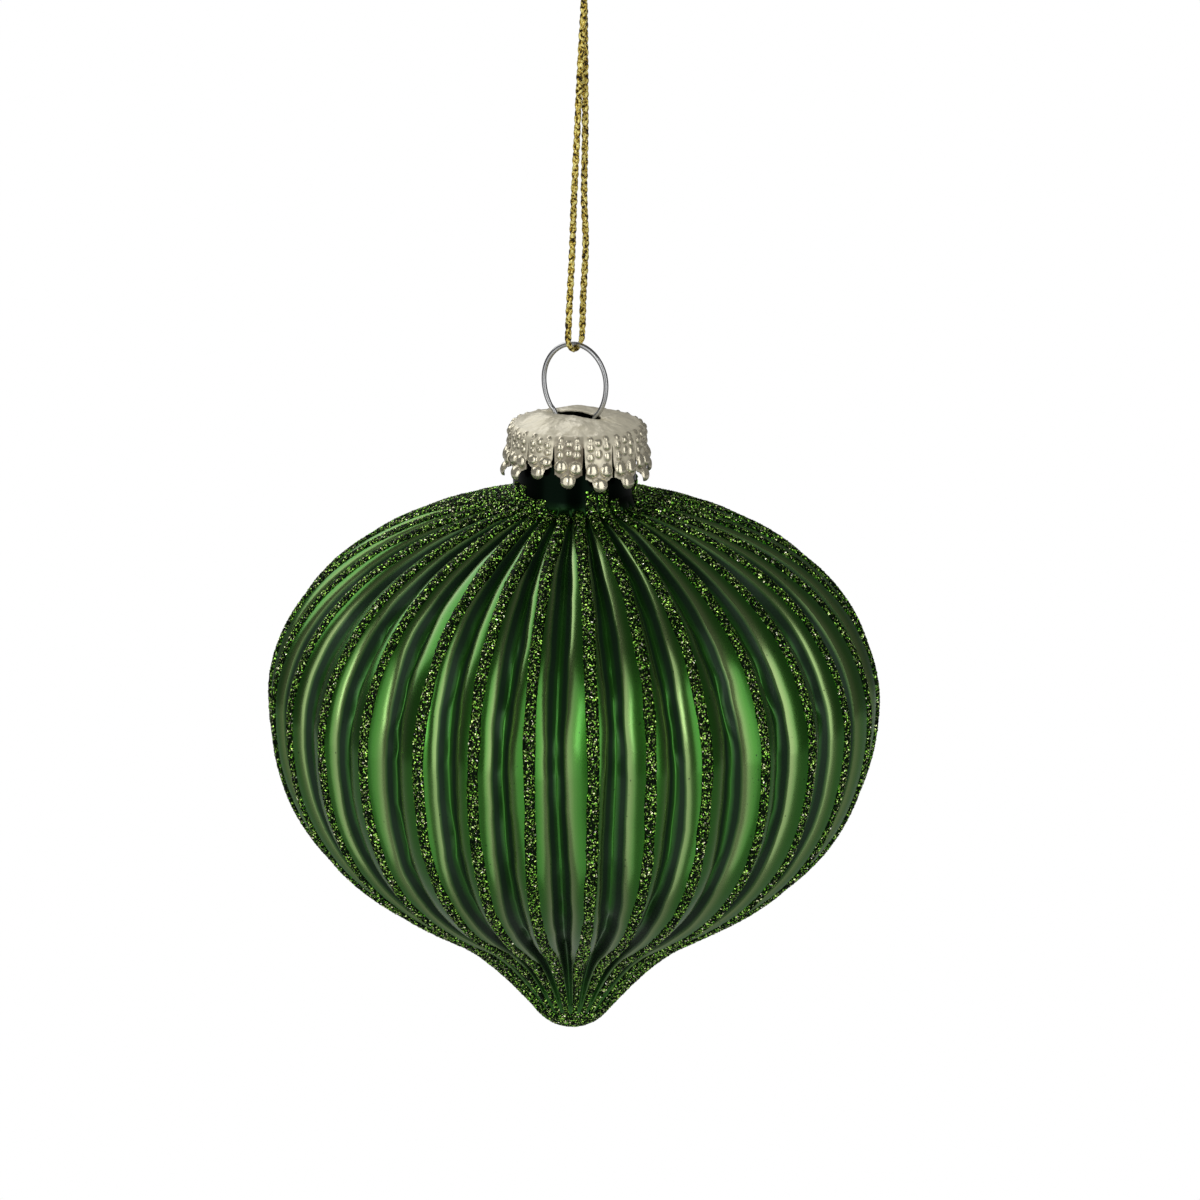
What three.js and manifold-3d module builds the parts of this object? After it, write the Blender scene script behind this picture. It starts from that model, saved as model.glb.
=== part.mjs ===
// Teardrop glass ornament: a hollow ribbed glass drop under a crown cap, hung by a wire eye and a cord loop.
// Millimetres and degrees, +Z up. The origin is the hang point, in the crotch under the cord's knot.
// The ornament hangs down the Z axis, and X runs along the plane of the wire eye.

import * as THREE from 'three';
import { mergeVertices } from 'three/addons/utils/BufferGeometryUtils.js';
import Module from 'manifold-3d';

const wasm = await Module();
wasm.setup();

// Driving dimensions

// Space left between pieces that touch
const CLEARANCE = 0.3;

// Cord loop, knotted above the hang point
const CORD_DIA = 0.9;
const CORD_DROP = 60; // hang point down to the crown of the wire eye
const BIGHT_RADIUS = 1.8; // bend of the cord's middle under the wire
const KNOT_DIA = 3.6;
const KNOT_HEIGHT = 4;
const TAIL_LENGTH = 9;
const TAIL_SPREAD = 2.6;

const CORD_SWAY_TURN = 30; // angle of the side that the loop sways to, from the X axis

// The cord's two runs: how far below the hang point, how far swayed aside, half the gap between them,
// and how far they are twisted about each other
const CORD_ROUTE = [
  [5, 0.45, 0.62, 30],
  [13.4, 0.94, 0.62, 30],
  [21.6, 0.85, 0.66, 8],
  [27, 0.75, 0.8, 0],
  [32.4, 0.65, 1.04, 0],
  [40.6, 0.43, 1.3, 0],
  [47, 0.45, 1.7, 0],
  [54, 0.15, 1.75, 0],
];

// Wire hanger, an eye on two sprung legs
const WIRE_DIA = 0.65;
const EYE_HALF_WIDTH = 4.65; // to the wire's centre
const EYE_CROWN = 5.1; // crown of the eye down to its widest place
const EYE_HEEL = 5.7; // how far the lower half would reach if it closed
const EYE_STANDOFF = 9.4; // crown of the eye down to the cap's top
const THROAT_HALF_WIDTH = 2.6;
const THROAT_DROP = 2; // below the cap's top
const LEG_LENGTH = 19; // below the cap's top
const LEG_PLAY = 1; // between the ends of the legs and the neck's bore

// Stamped crown cap
const CAP_PLAY = 0.55; // between the neck and the inside of the cap
const SKIRT_FLARE = 0.7; // how far the petals' ends stand out past the rim
const CAP_HEIGHT = 7.5;
const CAP_DOME = 1; // how far the top is drawn up over its rim
const CAP_METAL = 0.4;
const CAP_EDGE_RADIUS = 0.9;
const SLOT_WIDTH = 1.7;
const PETALS = 14;
const PETAL_START = -2.4; // angle of the first slit
const PETAL_LENGTH = 5.6; // cap's top down to the petals' shoulders
const SLIT_START = 2.2; // cap's top down to the slits
const SLIT_HALF_WIDTH = 0.42;
const TONGUE_RADIUS = 1;
const BOSS_RADIUS = 0.85;
const BOSS_HEIGHT = 0.45;
const BOSS_SINK = 0.15; // foot of a boss under the metal's face
const BOSS_PITCH = 1.9;

// Glass body
const GLASS_WALL = 0.9;
const NECK_DIA = 16;
const NECK_LENGTH = 9.5;
const ROOT_FILLET = 1.5; // where the neck runs into the shoulder
const BODY_DIA = 79.6; // over the crests of the ribs
const SHOULDER_RISE = 26.8; // equator up to the neck's root
const SHOULDER_SLOPE = 10.9; // of the shoulder at the neck
const SHOULDER_FULLNESS = 29.5;
const SHOULDER_EASE = 3.5; // how long the side stays upright above the equator
const WAIST_DIA = 31.9; // where the belly turns into the taper
const WAIST_DROP = 32;
const WAIST_SLOPE = 32.8;
const BELLY_EASE = 21.6;
const BELLY_FULLNESS = 6.9;
const NOSE_DIA = 8.6;
const NOSE_DROP = 43;
const NOSE_SLOPE = 48.5;
const TAPER_EASE = 6.4;
const TAPER_FULLNESS = 3.5;
const RIBS = 30;
const RIB_START = 3.84; // angle of the first crest
const RIB_DEPTH = 1.4;
const LOBE_SHARE = 2 / 3; // of a rib's pitch that is convex
const LOBE_CROWN = 0.45; // of the depth that the lobe falls by at its edges
const RIB_FADE_START = 5; // radius at which the ribs begin
const RIB_FADE_LENGTH = 14; // and how much further out they reach full depth

// Glitter, in glue beads along the crests and on the tip
const BAND_WIDTH = 1.6;
const BAND_HEIGHT = 0.45;
const BAND_SHARE = 0.62; // of the rib's pitch, where that is narrower
const BAND_TOP_SHARE = 0.55; // width of a bead's top to its foot
const TIP_HEIGHT = 0.5;

// Facets
const COARSE_COLUMNS = 2; // for each rib
const FINE_COLUMNS = 6;
const CORD_SIDES = 8;
const CORD_STEPS = 64;
const WIRE_STEPS = 48;
const CAP_COLUMNS = 2; // for each petal

// Places that follow from the sizes
const eyeCrownZ = -CORD_DROP;
const capTopZ = eyeCrownZ - EYE_STANDOFF;
const lipZ = capTopZ - CAP_DOME - CAP_METAL - CLEARANCE;
const rootZ = lipZ - NECK_LENGTH;
const equatorZ = rootZ - SHOULDER_RISE;
const neckRadius = NECK_DIA / 2;
const bodyRadius = BODY_DIA / 2;
const boreRadius = neckRadius - GLASS_WALL;
const capRadius = neckRadius + CAP_PLAY + CAP_METAL;
const skirtRadius = capRadius + SKIRT_FLARE;
const skirtStart = CAP_DOME + CAP_EDGE_RADIUS; // below the cap's top
const ribPitch = (2 * Math.PI) / RIBS;
const wireRadius = WIRE_DIA / 2;
const cordRadius = CORD_DIA / 2;

// Helpers

const radians = THREE.MathUtils.degToRad;

function finish(color, roughness, metalness) {
  return new THREE.MeshStandardMaterial({ color, roughness, metalness });
}

function piece(name, geometry, material) {
  const mesh = new THREE.Mesh(geometry, material);
  mesh.name = name;
  return mesh;
}

// Shared vertices only, without the slivers that a revolve leaves on its axis
function welded(geometry) {
  const bare = new THREE.BufferGeometry();
  bare.setAttribute('position', geometry.attributes.position);
  if (geometry.index) bare.setIndex(geometry.index);
  const merged = mergeVertices(bare, 1e-4);
  const corners = merged.index.array;
  const kept = [];
  for (let i = 0; i < corners.length; i += 3) {
    const [a, b, c] = [corners[i], corners[i + 1], corners[i + 2]];
    if (a !== b && b !== c && c !== a) kept.push(a, b, c);
  }
  merged.setIndex(kept);
  return merged;
}

function toSolid(geometry) {
  const merged = welded(geometry);
  const vertProperties = new Float32Array(merged.attributes.position.array);
  const triVerts = new Uint32Array(merged.index.array);
  return new wasm.Manifold(new wasm.Mesh({ numProp: 3, vertProperties, triVerts }));
}

function toGeometry(solid) {
  const mesh = solid.getMesh();
  const geometry = new THREE.BufferGeometry();
  geometry.setAttribute('position', new THREE.BufferAttribute(mesh.vertProperties, mesh.numProp));
  geometry.setIndex(new THREE.BufferAttribute(mesh.triVerts, 1));
  return geometry;
}

// A revolve about Z of an outline given as radius and height
function revolve(outline, segments) {
  const geometry = new THREE.LatheGeometry(outline, segments);
  geometry.rotateX(Math.PI / 2);
  return welded(geometry);
}

// A round bar along a curve
function bar(curve, radius, sides, steps) {
  const section = new THREE.Shape();
  for (let i = 0; i < sides; i += 1) {
    const turn = (2 * Math.PI * i) / sides;
    const corner = [radius * Math.cos(turn), radius * Math.sin(turn)];
    if (i === 0) section.moveTo(...corner);
    else section.lineTo(...corner);
  }
  section.closePath();
  return welded(new THREE.ExtrudeGeometry(section, { steps, extrudePath: curve, bevelEnabled: false }));
}

// A closed skin over rings of points. The first and last rings are single points, and two rings may
// differ in how many points they have.
function loft(rings) {
  const positions = [];
  const indices = [];
  const starts = [];
  for (const ring of rings) {
    starts.push(positions.length / 3);
    for (const point of ring) positions.push(point.x, point.y, point.z);
  }
  for (let k = 0; k + 1 < rings.length; k += 1) {
    const [countA, countB] = [rings[k].length, rings[k + 1].length];
    const at = (i) => starts[k] + (i % countA);
    const below = (j) => starts[k + 1] + (j % countB);
    let [i, j] = [0, 0];
    while ((countA > 1 && i < countA) || (countB > 1 && j < countB)) {
      const stepBelow = countA === 1 || (countB > 1 && (j + 1) * countA <= (i + 1) * countB);
      if (stepBelow) {
        indices.push(at(i), below(j), below(j + 1));
        j += 1;
      } else {
        indices.push(at(i), below(j), at(i + 1));
        i += 1;
      }
    }
  }
  const geometry = new THREE.BufferGeometry();
  geometry.setAttribute('position', new THREE.Float32BufferAttribute(positions, 3));
  geometry.setIndex(indices);
  return geometry;
}

// Outline of the glass, from the lip down to the nose

// A row holds a radius, a height, the outward normal there and a share of the columns
function row(point, tangent, columns) {
  return { radius: point.x, z: point.y, normal: new THREE.Vector2(-tangent.y, tangent.x), columns };
}

function rowsAlong(curve, shares, columns) {
  return shares.map((share) => row(curve.getPoint(share), curve.getTangent(share), columns));
}

function glassRows() {
  const downhill = (slope) => new THREE.Vector2(Math.cos(radians(slope)), -Math.sin(radians(slope)));
  const inward = (slope) => new THREE.Vector2(-Math.cos(radians(slope)), -Math.sin(radians(slope)));
  const from = (point, direction, distance) => point.clone().addScaledVector(direction, distance);

  const rootCorner = new THREE.Vector2(neckRadius, rootZ);
  const rootTop = new THREE.Vector2(neckRadius, rootZ + ROOT_FILLET);
  const rootEnd = from(rootCorner, downhill(SHOULDER_SLOPE), ROOT_FILLET);
  const equator = new THREE.Vector2(bodyRadius, equatorZ);
  const waist = new THREE.Vector2(WAIST_DIA / 2, equatorZ - WAIST_DROP);
  const nose = new THREE.Vector2(NOSE_DIA / 2, equatorZ - NOSE_DROP);

  const fillet = new THREE.QuadraticBezierCurve(rootTop, rootCorner, rootEnd);
  const shoulder = new THREE.CubicBezierCurve(
    rootEnd,
    from(rootEnd, downhill(SHOULDER_SLOPE), SHOULDER_FULLNESS),
    new THREE.Vector2(bodyRadius, equatorZ + SHOULDER_EASE),
    equator,
  );
  const belly = new THREE.CubicBezierCurve(
    equator,
    new THREE.Vector2(bodyRadius, equatorZ - BELLY_EASE),
    from(waist, inward(WAIST_SLOPE), -BELLY_FULLNESS),
    waist,
  );
  const taper = new THREE.CubicBezierCurve(
    waist,
    from(waist, inward(WAIST_SLOPE), TAPER_EASE),
    from(nose, inward(NOSE_SLOPE), -TAPER_FULLNESS),
    nose,
  );

  const lip = row(new THREE.Vector2(neckRadius, lipZ), new THREE.Vector2(0, -1), COARSE_COLUMNS);
  const pastGap = CLEARANCE / (3 * SHOULDER_FULLNESS);
  return {
    neck: [lip, ...rowsAlong(fillet, [0, 0.5, 1], COARSE_COLUMNS)],
    ribbed: [
      ...rowsAlong(shoulder, [pastGap], COARSE_COLUMNS),
      ...rowsAlong(shoulder, [0.12, 0.3, 0.5, 0.74], FINE_COLUMNS),
      ...rowsAlong(belly, [0, 0.2, 0.38, 0.58, 0.78], FINE_COLUMNS),
      ...rowsAlong(taper, [0, 0.3], FINE_COLUMNS),
      ...rowsAlong(taper, [0.55, 0.8], COARSE_COLUMNS),
    ],
    nose: [...rowsAlong(taper, [0.93, 1], COARSE_COLUMNS), noseRow(NOSE_SLOPE / 2)],
    pole: noseRow(0),
  };
}

// The nose is part of a ball that leaves the taper at its slope
function noseRow(slope) {
  const ballRadius = NOSE_DIA / 2 / Math.sin(radians(NOSE_SLOPE));
  const centreZ = equatorZ - NOSE_DROP + ballRadius * Math.cos(radians(NOSE_SLOPE));
  const outward = new THREE.Vector2(Math.sin(radians(slope)), -Math.cos(radians(slope)));
  return {
    radius: ballRadius * outward.x,
    z: centreZ + ballRadius * outward.y,
    normal: outward,
    columns: COARSE_COLUMNS,
  };
}

// How far the glass lies below the crests, across one rib
function ribDrop(radius, angle) {
  const depth = RIB_DEPTH * THREE.MathUtils.clamp((radius - RIB_FADE_START) / RIB_FADE_LENGTH, 0, 1);
  const turns = (angle - radians(RIB_START)) / ribPitch;
  const offset = Math.abs(turns - Math.round(turns));
  const lobeEdge = LOBE_SHARE / 2;
  if (offset <= lobeEdge) return depth * LOBE_CROWN * (offset / lobeEdge) ** 2;
  const toValley = (0.5 - offset) / (0.5 - lobeEdge);
  return depth * (LOBE_CROWN + (1 - LOBE_CROWN) * (1 - toValley ** 2));
}

// A point over the glass, lifted off it along the outline's normal, as the ribs drop
function overGlass(glassRow, angle, lift) {
  const ribbed = glassRow.radius > neckRadius || glassRow.z < equatorZ;
  const rise = lift - (ribbed ? ribDrop(glassRow.radius, angle) : 0);
  const radius = Math.max(glassRow.radius + glassRow.normal.x * rise, 0);
  const z = glassRow.z + glassRow.normal.y * rise;
  return new THREE.Vector3(radius * Math.cos(angle), radius * Math.sin(angle), z);
}

function glassRing(glassRow, columns, lift) {
  const count = RIBS * columns;
  const ring = [];
  for (let i = 0; i < count; i += 1) {
    ring.push(overGlass(glassRow, radians(RIB_START) + (2 * Math.PI * i) / count, lift));
  }
  return ring;
}

const rows = glassRows();

// Glass neck, blown in one with the body. It is a piece of its own so that a simulator's simple shapes
// can leave its bore open.
function glassNeck() {
  const wall = (lift) => rows.neck.map((glassRow) => glassRing(glassRow, COARSE_COLUMNS, lift));
  const inside = wall(-GLASS_WALL).reverse();
  return welded(loft([...inside, ...wall(0), inside[0]]));
}

// Glass body: a ribbed shell, open where the neck goes on
function glassBody() {
  const outer = [...rows.ribbed, ...rows.nose];
  const inner = outer.filter((_, i) => i % 2 === 0);
  return loft([
    [overGlass(rows.pole, 0, -GLASS_WALL)],
    ...inner.map((glassRow) => glassRing(glassRow, COARSE_COLUMNS, -GLASS_WALL)).reverse(),
    ...outer.map((glassRow) => glassRing(glassRow, glassRow.columns, 0)),
    [overGlass(rows.pole, 0, 0)],
  ]);
}

// Glitter band: a bead of glue and glitter along one crest, from the neck to the tip
function glitterBand(index) {
  const crest = radians(RIB_START) + index * ribPitch;
  const middle = (glassRow) => [overGlass(glassRow, crest, CLEARANCE + BAND_HEIGHT / 2)];
  const rings = rows.ribbed.map((glassRow) => {
    const pitch = glassRow.radius * ribPitch;
    const foot = Math.min(BAND_WIDTH, pitch * BAND_SHARE) / 2 / glassRow.radius;
    const top = foot * BAND_TOP_SHARE;
    return [
      overGlass(glassRow, crest - foot, CLEARANCE),
      overGlass(glassRow, crest - top, CLEARANCE + BAND_HEIGHT),
      overGlass(glassRow, crest + top, CLEARANCE + BAND_HEIGHT),
      overGlass(glassRow, crest + foot, CLEARANCE),
    ];
  });
  return loft([middle(rows.ribbed[0]), ...rings, middle(rows.nose[0])]);
}

// Glitter tip: a shell of glue and glitter round the nose
function glitterTip() {
  const covered = rows.nose.slice(1);
  const lifted = (lift) => covered.map((glassRow) => glassRing(glassRow, 1, lift));
  return loft([
    [overGlass(rows.pole, 0, CLEARANCE)],
    ...lifted(CLEARANCE).reverse(),
    ...lifted(CLEARANCE + TIP_HEIGHT),
    [overGlass(rows.pole, 0, CLEARANCE + TIP_HEIGHT)],
  ]);
}

// Wire hanger

// A point of the eye's wire, by the angle from its crown
function eyePoint(angle) {
  const reach = angle < Math.PI / 2 ? EYE_CROWN : EYE_HEEL;
  const z = eyeCrownZ - EYE_CROWN + reach * Math.cos(angle);
  return new THREE.Vector3(EYE_HALF_WIDTH * Math.sin(angle), 0, z);
}

// The angle at which the eye reaches the cap
const slotAngle = Math.PI - Math.acos((EYE_STANDOFF - EYE_CROWN) / EYE_HEEL);

function wireHanger() {
  const toeX = boreRadius - wireRadius - LEG_PLAY;
  const toeZ = capTopZ - LEG_LENGTH;
  const throat = new THREE.Vector3(THROAT_HALF_WIDTH, 0, capTopZ - THROAT_DROP);
  const toe = new THREE.Vector3(toeX, 0, toeZ);
  const shin = throat.clone().lerp(toe, 0.45);
  const half = [toe, shin, throat];
  const eyeSteps = 6;
  for (let i = 0; i <= eyeSteps; i += 1) half.push(eyePoint(slotAngle * (1 - i / eyeSteps)));
  const mirrored = half.slice(0, -1).map((point) => new THREE.Vector3(-point.x, 0, point.z));
  const path = new THREE.CatmullRomCurve3([...half, ...mirrored.reverse()]);
  return bar(path, wireRadius, CORD_SIDES, WIRE_STEPS);
}

// Crown cap

function capShell() {
  const rimRadius = capRadius - CAP_EDGE_RADIUS;
  const wall = (inset) => {
    const path = new THREE.Path();
    path.moveTo(0, -inset);
    for (const share of [0.4, 0.7, 1]) path.lineTo(rimRadius * share, -CAP_DOME * share ** 2 - inset);
    path.absarc(rimRadius, -skirtStart, CAP_EDGE_RADIUS - inset, Math.PI / 2, 0, true);
    path.lineTo(skirtRadius - inset, -CAP_HEIGHT);
    return path.getPoints(1);
  };
  const outline = [...wall(CAP_METAL), ...wall(0).reverse()];
  return toSolid(revolve(outline, PETALS * CAP_COLUMNS));
}

// What is cut away at one slit: the slit itself, and the corners beside the tongues below it
function slitCutter() {
  const halfPitch = skirtRadius * Math.sin(Math.PI / PETALS);
  const tongueZ = -CAP_HEIGHT + TONGUE_RADIUS;
  const path = new THREE.Path();
  path.moveTo(0, -SLIT_START);
  path.lineTo(SLIT_HALF_WIDTH, -PETAL_LENGTH);
  path.lineTo(halfPitch - TONGUE_RADIUS, Math.min(tongueZ, -PETAL_LENGTH));
  path.absarc(halfPitch, tongueZ, TONGUE_RADIUS, Math.PI, 1.5 * Math.PI, false);
  path.lineTo(halfPitch, -CAP_HEIGHT - CAP_EDGE_RADIUS);
  const half = path.getPoints(1);
  const mirrored = half.slice(1).map((point) => new THREE.Vector2(-point.x, point.y));
  const depth = skirtRadius;
  const geometry = new THREE.ExtrudeGeometry(new THREE.Shape([...mirrored.reverse(), ...half]), {
    depth,
    bevelEnabled: false,
  });
  const across = new THREE.Vector3(0, 1, 0);
  const up = new THREE.Vector3(0, 0, 1);
  const outward = new THREE.Vector3(1, 0, 0);
  geometry.applyMatrix4(new THREE.Matrix4().makeBasis(across, up, outward));
  geometry.translate(depth / 2, 0, 0);
  return toSolid(geometry);
}

// The slot that the two legs pass through, with round ends that clear them
function slotCutter() {
  const endRadius = wireRadius + CLEARANCE;
  const legX = eyePoint(slotAngle).x;
  const shape = new THREE.Shape();
  shape.moveTo(-legX, -endRadius);
  shape.quadraticCurveTo(0, -SLOT_WIDTH + endRadius, legX, -endRadius);
  shape.absarc(legX, 0, endRadius, -Math.PI / 2, Math.PI / 2, false);
  shape.quadraticCurveTo(0, SLOT_WIDTH - endRadius, -legX, endRadius);
  shape.absarc(-legX, 0, endRadius, Math.PI / 2, 1.5 * Math.PI, false);
  const depth = 4 * CAP_METAL;
  const geometry = new THREE.ExtrudeGeometry(shape, { depth, bevelEnabled: false, curveSegments: 5 });
  geometry.translate(0, 0, -depth / 2);
  return toSolid(geometry);
}

// A pressed boss on the skirt, a given way across its petal and down from the cap's top
function boss(across, drop) {
  const fall = SKIRT_FLARE / (CAP_HEIGHT - skirtStart);
  const radius = capRadius + (drop - skirtStart) * fall;
  const outline = [
    new THREE.Vector2(0, -BOSS_SINK),
    new THREE.Vector2(BOSS_RADIUS, -BOSS_SINK),
    new THREE.Vector2(BOSS_RADIUS * 0.75, BOSS_HEIGHT * 0.65),
    new THREE.Vector2(0, BOSS_HEIGHT),
  ];
  const geometry = revolve(outline, 6);
  geometry.rotateY(Math.PI / 2 + Math.atan(fall));
  geometry.translate(radius, 0, -drop);
  geometry.rotateZ(across / radius);
  return toSolid(geometry);
}

function cap() {
  const step = 360 / PETALS;
  const slit = slitCutter();
  const bosses = [
    boss(-BOSS_PITCH / 2, PETAL_LENGTH - BOSS_RADIUS),
    boss(BOSS_PITCH / 2, PETAL_LENGTH - BOSS_RADIUS),
    boss(0, CAP_HEIGHT - TONGUE_RADIUS),
  ];
  let solid = capShell().subtract(slotCutter());
  for (let i = 0; i < PETALS; i += 1) {
    solid = solid.subtract(slit.rotate([0, 0, PETAL_START + i * step]));
  }
  for (let i = 0; i < PETALS; i += 1) {
    const middle = PETAL_START + (i + 0.5) * step;
    for (const bump of bosses) solid = solid.add(bump.rotate([0, 0, middle]));
  }
  return toGeometry(solid.translate([0, 0, capTopZ]));
}

// Cord loop: down one run, round the wire of the eye, and up the other
function hangingCord() {
  const bottomZ = eyeCrownZ - wireRadius - CLEARANCE - cordRadius;
  const bendZ = bottomZ + BIGHT_RADIUS;
  const [, , topGap, topTwist] = CORD_ROUTE[0];
  const stations = [[CLEARANCE, 0, topGap, topTwist], ...CORD_ROUTE];
  const run = (side) =>
    stations.map(([drop, sway, halfGap, twist]) => {
      const swayTo = radians(CORD_SWAY_TURN);
      const x = sway * Math.cos(swayTo) - side * halfGap * Math.sin(radians(twist));
      const y = sway * Math.sin(swayTo) + side * halfGap * Math.cos(radians(twist));
      return new THREE.Vector3(x, y, -drop);
    });
  const bend = [];
  const bendSteps = 6;
  for (let i = 0; i <= bendSteps; i += 1) {
    const turn = (Math.PI * i) / bendSteps;
    bend.push(new THREE.Vector3(0, -BIGHT_RADIUS * Math.cos(turn), bendZ - BIGHT_RADIUS * Math.sin(turn)));
  }
  const path = new THREE.CatmullRomCurve3([...run(-1), ...bend, ...run(1).reverse()]);
  return bar(path, cordRadius, CORD_SIDES, CORD_STEPS);
}

// Knot: two turns of cord pulled tight, with both tails out of its top
function cordKnot() {
  const turnHeight = KNOT_HEIGHT / 2;
  const full = KNOT_DIA / 2;
  const outline = [new THREE.Vector2(0, 0)];
  for (const turn of [0, 1]) {
    for (const [share, rise] of [[0.7, 0.08], [1, 0.5], [0.78, 0.95]]) {
      outline.push(new THREE.Vector2(full * share, turnHeight * (turn + rise)));
    }
  }
  outline.push(new THREE.Vector2(0, KNOT_HEIGHT));
  let solid = toSolid(revolve(outline, 12));
  for (const side of [-1, 1]) {
    const tail = new THREE.CatmullRomCurve3([
      new THREE.Vector3(0, side * cordRadius, KNOT_HEIGHT - turnHeight),
      new THREE.Vector3(0, side * (cordRadius + CLEARANCE), KNOT_HEIGHT),
      new THREE.Vector3(0, (side * TAIL_SPREAD) / 2, KNOT_HEIGHT + TAIL_LENGTH / 2),
      new THREE.Vector3(0, side * TAIL_SPREAD, KNOT_HEIGHT + TAIL_LENGTH),
    ]);
    solid = solid.add(toSolid(bar(tail, cordRadius, CORD_SIDES, 6)));
  }
  return toGeometry(solid);
}

// Assembly

const lacquer = finish(0x1f5c2a, 0.28, 0.75);
const glitter = finish(0x3c6b22, 0.5, 0.6);
const champagne = finish(0xcfc5a8, 0.32, 0.9);
const steel = finish(0xb8bcbc, 0.22, 1);
const gold = finish(0xc8a03a, 0.4, 0.7);

const cordLoop = new THREE.Group();
cordLoop.add(piece('hanging_cord', hangingCord(), gold));
cordLoop.add(piece('cord_knot', cordKnot(), gold));

const drop = new THREE.Group();
drop.add(piece('glass_neck', glassNeck(), lacquer));
drop.add(piece('glass_body', glassBody(), lacquer));
for (let i = 0; i < RIBS; i += 1) {
  const name = `glitter_band_${String(i + 1).padStart(2, '0')}`;
  drop.add(piece(name, glitterBand(i), glitter));
}
drop.add(piece('glitter_tip', glitterTip(), glitter));

const ornament = new THREE.Group();
ornament.name = 'teardrop_glass_ornament';
ornament.add(cordLoop);
ornament.add(piece('wire_hanger', wireHanger(), steel));
ornament.add(piece('cap', cap(), champagne));
ornament.add(drop);

export default ornament;
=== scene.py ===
"""Looks of the teardrop glass ornament: fluted green glass, glitter lines, cap, wire eye and gold cord."""

from math import atan2, comb, cos, pi, radians, sin, sqrt

import bpy
import numpy as np
from mathutils import Matrix, Vector, noise


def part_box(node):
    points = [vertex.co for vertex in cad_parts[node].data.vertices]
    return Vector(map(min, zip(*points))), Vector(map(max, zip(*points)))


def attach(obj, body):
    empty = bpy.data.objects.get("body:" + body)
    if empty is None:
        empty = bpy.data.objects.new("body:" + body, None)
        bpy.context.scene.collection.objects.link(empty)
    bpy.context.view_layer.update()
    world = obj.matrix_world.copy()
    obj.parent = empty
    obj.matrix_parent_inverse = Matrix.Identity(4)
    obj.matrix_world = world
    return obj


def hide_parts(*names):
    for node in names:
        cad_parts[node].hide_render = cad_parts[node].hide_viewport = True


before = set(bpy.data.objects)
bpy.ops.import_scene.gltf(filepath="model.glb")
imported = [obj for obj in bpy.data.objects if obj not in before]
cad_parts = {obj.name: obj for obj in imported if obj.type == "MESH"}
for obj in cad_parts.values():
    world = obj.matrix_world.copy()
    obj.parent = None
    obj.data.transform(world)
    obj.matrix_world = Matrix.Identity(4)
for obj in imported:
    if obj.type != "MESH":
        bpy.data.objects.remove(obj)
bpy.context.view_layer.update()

MM = 0.001
UP = Vector((0, 0, 1))
CURVE_STEPS = 24

# Cord loop
CORD_RADIUS = 0.45 * MM
BIGHT_RADIUS = 1.8 * MM
BIGHT_STEPS = 6
PRESSED_SHARE = 0.8  # of the cord's thickness, where it is pressed under the wire
PRESSED_REACH = 1.5 * MM  # height over which it swells again, after PRESSED_HOLD of that height
PRESSED_HOLD = 0.3
CORD_PICK = 1.8 * MM
STRANDS_EACH_WAY = 2
STRAND_RADIUS = 0.21 * MM
STRAND_RING = 0.23 * MM
STRAND_WEAVE = 0.055 * MM
STRAND_CORNERS = 8
CORE_SHARE = 0.6  # of the ring that the strands run on
CORE_CORNERS = 6
CORE_STRIDE = 4
CORD_POINTS = 900
KNOT_POINTS = 300
# Drop below the hang point, lean towards the picture's right, half the gap and its turn, in mm and degrees
CORD_ROUTE = [
    (0.3, 0.0, 0.62, 30),
    (5, 0.45, 0.62, 30),
    (13.4, 0.94, 0.62, 30),
    (21.6, 0.85, 0.66, 8),
    (27, 0.75, 0.8, 0),
    (32.4, 0.65, 1.04, 0),
    (40.6, 0.43, 1.3, 0),
    (47, 0.45, 1.7, 0),
    (54, 0.15, 1.75, 0),
]
KNOT_RADIUS = 1.1 * MM
KNOT_HEIGHT = 4 * MM
KNOT_START = -60
KNOT_SWEEP = 400
KNOT_STEPS = 14
KNOT_WEAVE = 0.33 * MM
KNOT_FLATNESS = 0.85
TAIL_LENGTH = 9 * MM
TAIL_SPREAD = 2.6 * MM
TAIL_BEND = 0.25 * MM

# Wire eye
WIRE_RADIUS = 0.325 * MM
EYE_HALF_WIDTH = 4.65 * MM
EYE_CROWN = 5.1 * MM
EYE_HEEL = 5.7 * MM
THROAT_HALF_WIDTH = 2.6 * MM
THROAT_DROP = 2 * MM
LEG_BEND = 0.45  # place of the leg's middle point, on the way from the throat to the toe
EYE_STEPS = 12
WIRE_POINTS = 420
WIRE_CORNERS = 16

# Crown cap
CAP_RADIUS = 8.85 * MM
SKIRT_FLARE = 0.45 * MM
CAP_HEIGHT = 7.5 * MM
CAP_METAL = 0.25 * MM
CAP_DOME = 1.25 * MM
CAP_TOP_RISE = 0.4 * MM
CAP_EDGE_RADIUS = 1.2 * MM
CAP_OFF_CENTRE = 0.3 * MM
# Depth of the dents of the skirt and of the top, their size, and the height and size of the top's swellings
CRUMPLE = 0.09 * MM
TOP_CRUMPLE = 1.5 * CRUMPLE
CRUMPLE_LENGTH = 1.9 * MM
TOP_SWELL = 0.45 * MM
TOP_SWELL_LENGTH = 5 * MM
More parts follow.
